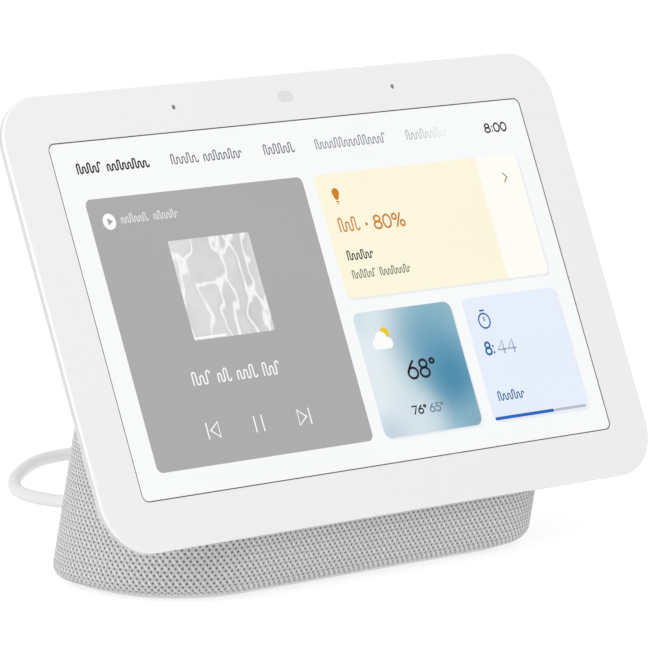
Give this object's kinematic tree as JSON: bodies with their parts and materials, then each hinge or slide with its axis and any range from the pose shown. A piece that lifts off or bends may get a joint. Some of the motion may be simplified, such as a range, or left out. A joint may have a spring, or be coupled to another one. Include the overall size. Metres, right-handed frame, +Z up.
{
  "type": "smart display",
  "caption": "Tabletop smart display: a thin white touch-screen head leaning back on a knit-covered oval speaker base, with a slide microphone switch, a volume rocker and a coiled mains lead.",
  "frame": {"origin": "on the table, under the middle of the device without its cord, midway between the lower edge of the face and the back of the base", "axes": "+Z up, +X to the right as seen from the front, the screen faces -Y"},
  "size_m": [0.1868, 0.1846, 0.117],
  "materials": {
    "face_glass": "polished, white behind the border",
    "clear_film": "clear film",
    "foam": "matt foam",
    "panel_glass": "dark glass",
    "steel": "bright",
    "alu": "satin",
    "white_plastic": "fine matt",
    "board": "solder mask",
    "brass_can": "satin",
    "sensor_lens": "translucent",
    "flex_film": "film",
    "grey_plastic": "fine matt",
    "black_plastic": "matt",
    "knit": "open double knit",
    "shell_plastic": "matt",
    "foot_rubber": "matt silicone",
    "ballast_iron": "painted",
    "ivory_plastic": "matt",
    "wire_red": "insulation",
    "dark_metal": "satin paint",
    "magnet": "matt ferrite",
    "cone_paper": "pulp",
    "copper": "enamelled wire",
    "spider_cloth": "treated cloth",
    "cord_plastic": "smooth jacket",
    "tie_fabric": "woven strap",
    "adapter_plastic": "satin gloss",
    "blade_nickel": "nickel plated"
  },
  "bodies": {
    "device": {"cover_glass": "face_glass", "touch_sensor": "clear_film", "panel_gasket": "foam", "display_panel": "panel_glass", "backlight_unit": "steel", "mid_frame": "alu", "rear_cover": "white_plastic", "sensor_board": "board", "mic_left": "brass_can", "mic_right": "brass_can", "mic_seals": "foam", "light_sensor": "sensor_lens", "wifi_antennas": "flex_film", "mute_switch": "steel", "rocker_bracket": "steel", "button_board": "board", "tact_switches": "steel", "display_flex": "flex_film", "fabric_sleeve": "knit", "base_shell": "shell_plastic", "base_plate": "shell_plastic", "rubber_foot": "foot_rubber", "ballast_plate": "ballast_iron", "base_screws": "steel", "neck_screws": "steel", "main_board": "board", "board_shield": "steel", "heat_spreader": "alu", "board_screws": "steel", "board_connectors": "ivory_plastic", "dc_jack": "black_plastic", "jack_bezel": "white_plastic", "wire_harness": "wire_red", "speaker_gasket": "foam", "speaker_basket": "dark_metal", "speaker_magnet": "magnet", "speaker_yoke": "steel", "speaker_surround": "foam", "speaker_spider": "spider_cloth", "speaker_screws": "steel", "dc_plug": "cord_plastic", "plug_relief": "cord_plastic", "power_cord": "cord_plastic", "cord_coil": "cord_plastic", "cord_tie": "tie_fabric", "adapter_lead": "cord_plastic", "adapter_relief": "cord_plastic", "adapter_housing": "adapter_plastic", "adapter_blades": "blade_nickel"},
    "mute_switch_knob": {"mute_slider": "grey_plastic", "switch_lever": "black_plastic"},
    "volume_button": {"volume_rocker": "white_plastic"},
    "cone_assembly": {"speaker_cone": "cone_paper", "dust_cap": "cone_paper", "voice_coil": "copper"}
  },
  "joints": [
    {"name": "mute_slide", "type": "slide", "parent": "device", "child": "mute_switch_knob", "axis": [1, 0, 0], "range_m": [-0.001, 0.001]},
    {"name": "volume_rock", "type": "hinge", "parent": "device", "child": "volume_button", "pos_m": [0.083, -0.00414, 0.07861], "axis": [1, 0, 0], "range_deg": [-2.5, 2.5], "stiffness_Nm_per_rad": 0.05},
    {"name": "cone_slide", "type": "slide", "parent": "device", "child": "cone_assembly", "axis": [0, 0.9758, 0.2186], "range_m": [-0.0015, 0.0015], "stiffness_N_per_m": 1500, "deforming": ["speaker_surround", "speaker_spider"]}
  ]
}
